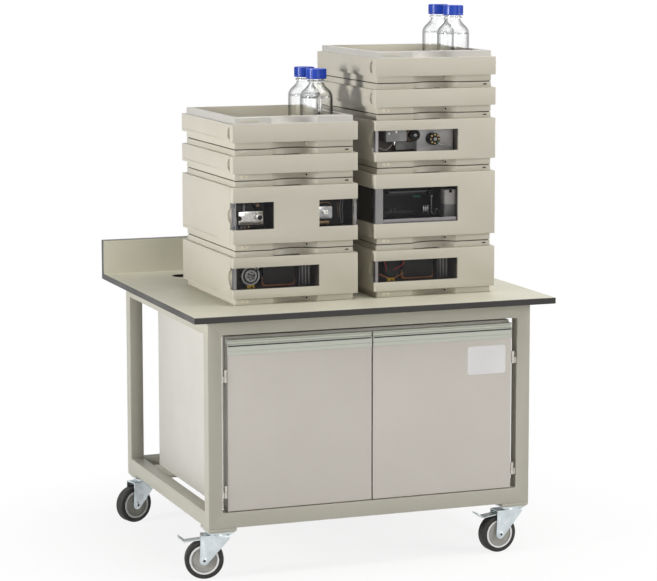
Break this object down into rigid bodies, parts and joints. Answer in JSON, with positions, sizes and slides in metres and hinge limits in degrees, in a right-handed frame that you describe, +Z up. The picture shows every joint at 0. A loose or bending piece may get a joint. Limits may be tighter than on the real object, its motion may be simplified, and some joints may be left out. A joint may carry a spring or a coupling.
{
  "type": "liquid chromatography workstation",
  "caption": "Mobile steel bench with a two-door cabinet, carrying two stacks of liquid chromatography modules with pull-off front covers and open solvent trays with bottles.",
  "frame": {"origin": "middle of the footprint, on the floor", "axes": "+X to the right along the front, +Y to the back, +Z up"},
  "size_m": [1.0046, 0.87, 1.4419],
  "materials": {
    "laminate": "fine matt laminate",
    "frame_paint": "fine textured powder coat",
    "cabinet_board": "matt melamine",
    "door_board": "matt melamine",
    "pull_aluminium": "satin coated",
    "nickel": "nickel plated",
    "zinc": "bright zinc plated",
    "hub_plastic": "moulded",
    "tyre_rubber": "matt rubber",
    "module_shell": "fine moulded texture",
    "tray_foam": "fine moulded texture",
    "window_plastic": "clear",
    "fitting_steel": "machined",
    "bottle_glass": "clear",
    "cap_plastic": "moulded"
  },
  "bodies": {
    "bench": {"bottle_caps": "cap_plastic", "cabinet_shell": "cabinet_board", "cabinet_support": "frame_paint", "caster_feet": "frame_paint", "caster_plates": "zinc", "column_oven_left_fittings": "fitting_steel", "column_oven_left_housing": "module_shell", "column_oven_right_fittings": "fitting_steel", "column_oven_right_housing": "module_shell", "degasser_left_housing": "module_shell", "degasser_right_housing": "module_shell", "detector_fittings": "fitting_steel", "detector_housing": "module_shell", "front_frame": "frame_paint", "hinge_plates": "nickel", "pump_fittings": "fitting_steel", "pump_housing": "module_shell", "rear_frame": "frame_paint", "sampler_fittings": "fitting_steel", "sampler_housing": "module_shell", "sampler_side_window": "window_plastic", "side_rails": "frame_paint", "solvent_bottles": "bottle_glass", "solvent_tray_left": "tray_foam", "solvent_tray_right": "tray_foam", "upstand": "laminate", "worktop": "laminate"},
    "left_door": {"left_door": "door_board", "left_door_pull": "pull_aluminium", "left_door_hinges": "nickel"},
    "right_door": {"right_door": "door_board", "right_door_pull": "pull_aluminium", "right_door_hinges": "nickel"},
    "front_left_fork": {"front_left_fork": "zinc"},
    "front_left_wheel": {"front_left_hub": "hub_plastic", "front_left_tyre": "tyre_rubber"},
    "front_left_pedal": {"front_left_pedal": "zinc"},
    "front_right_fork": {"front_right_fork": "zinc"},
    "front_right_wheel": {"front_right_hub": "hub_plastic", "front_right_tyre": "tyre_rubber"},
    "front_right_pedal": {"front_right_pedal": "zinc"},
    "rear_left_fork": {"rear_left_fork": "zinc"},
    "rear_left_wheel": {"rear_left_hub": "hub_plastic", "rear_left_tyre": "tyre_rubber"},
    "rear_right_fork": {"rear_right_fork": "zinc"},
    "rear_right_wheel": {"rear_right_hub": "hub_plastic", "rear_right_tyre": "tyre_rubber"},
    "column_oven_left_cover": {"column_oven_left_cover": "module_shell", "column_oven_left_window": "window_plastic"},
    "column_oven_right_cover": {"column_oven_right_cover": "module_shell", "column_oven_right_window": "window_plastic"},
    "degasser_left_cover": {"degasser_left_cover": "module_shell"},
    "degasser_right_cover": {"degasser_right_cover": "module_shell"},
    "detector_cover": {"detector_cover": "module_shell", "detector_window": "window_plastic"},
    "pump_cover": {"pump_cover": "module_shell", "pump_window": "window_plastic"},
    "sampler_cover": {"sampler_cover": "module_shell", "sampler_window": "window_plastic"}
  },
  "joints": [
    {"name": "left_door_hinge", "type": "hinge", "parent": "bench", "child": "left_door", "pos_m": [-0.38761, -0.3795, 0.39825], "axis": [0, 0, 1], "range_deg": [-100, 0]},
    {"name": "right_door_hinge", "type": "hinge", "parent": "bench", "child": "right_door", "pos_m": [0.40638, -0.3795, 0.39825], "axis": [0, 0, 1], "range_deg": [0, 100]},
    {"name": "front_left_swivel", "type": "hinge", "parent": "bench", "child": "front_left_fork", "pos_m": [-0.39661, -0.3465, 0.11], "axis": [0, 0, 1], "continuous": true},
    {"name": "front_left_axle", "type": "hinge", "parent": "front_left_fork", "child": "front_left_wheel", "pos_m": [-0.43332, -0.33666, 0.05], "axis": [0.2588, 0.9659, 0], "continuous": true},
    {"name": "front_left_pedal_pivot", "type": "hinge", "parent": "front_left_fork", "child": "front_left_pedal", "pos_m": [-0.43525, -0.33615, 0.104], "axis": [0.2588, 0.9659, 0], "range_deg": [-12, 0]},
    {"name": "front_right_swivel", "type": "hinge", "parent": "bench", "child": "front_right_fork", "pos_m": [0.41539, -0.3465, 0.11], "axis": [0, 0, 1], "continuous": true},
    {"name": "front_right_axle", "type": "hinge", "parent": "front_right_fork", "child": "front_right_wheel", "pos_m": [0.37756, -0.35014, 0.05], "axis": [-0.0958, 0.9954, 0], "continuous": true},
    {"name": "front_right_pedal_pivot", "type": "hinge", "parent": "front_right_fork", "child": "front_right_pedal", "pos_m": [0.37557, -0.35033, 0.104], "axis": [-0.0958, 0.9954, 0], "range_deg": [-12, 0]},
    {"name": "rear_left_swivel", "type": "hinge", "parent": "bench", "child": "rear_left_fork", "pos_m": [-0.39661, 0.3285, 0.11], "axis": [0, 0, 1], "continuous": true},
    {"name": "rear_left_axle", "type": "hinge", "parent": "rear_left_fork", "child": "rear_left_wheel", "pos_m": [-0.43295, 0.31739, 0.05], "axis": [-0.2924, 0.9563, 0], "continuous": true},
    {"name": "rear_right_swivel", "type": "hinge", "parent": "bench", "child": "rear_right_fork", "pos_m": [0.41539, 0.3285, 0.11], "axis": [0, 0, 1], "continuous": true},
    {"name": "rear_right_axle", "type": "hinge", "parent": "rear_right_fork", "child": "rear_right_wheel", "pos_m": [0.37905, 0.31739, 0.05], "axis": [-0.2924, 0.9563, 0], "continuous": true},
    {"name": "column_oven_left_cover_pull_off", "type": "slide", "parent": "bench", "child": "column_oven_left_cover", "axis": [0, -1, 0], "range_m": [0, 0.06]},
    {"name": "column_oven_right_cover_pull_off", "type": "slide", "parent": "bench", "child": "column_oven_right_cover", "axis": [0, -1, 0], "range_m": [0, 0.06]},
    {"name": "degasser_left_cover_pull_off", "type": "slide", "parent": "bench", "child": "degasser_left_cover", "axis": [0, -1, 0], "range_m": [0, 0.06]},
    {"name": "degasser_right_cover_pull_off", "type": "slide", "parent": "bench", "child": "degasser_right_cover", "axis": [0, -1, 0], "range_m": [0, 0.06]},
    {"name": "detector_cover_pull_off", "type": "slide", "parent": "bench", "child": "detector_cover", "axis": [0, -1, 0], "range_m": [0, 0.06]},
    {"name": "pump_cover_pull_off", "type": "slide", "parent": "bench", "child": "pump_cover", "axis": [0, -1, 0], "range_m": [0, 0.06]},
    {"name": "sampler_cover_pull_off", "type": "slide", "parent": "bench", "child": "sampler_cover", "axis": [0, -1, 0], "range_m": [0, 0.06]}
  ]
}
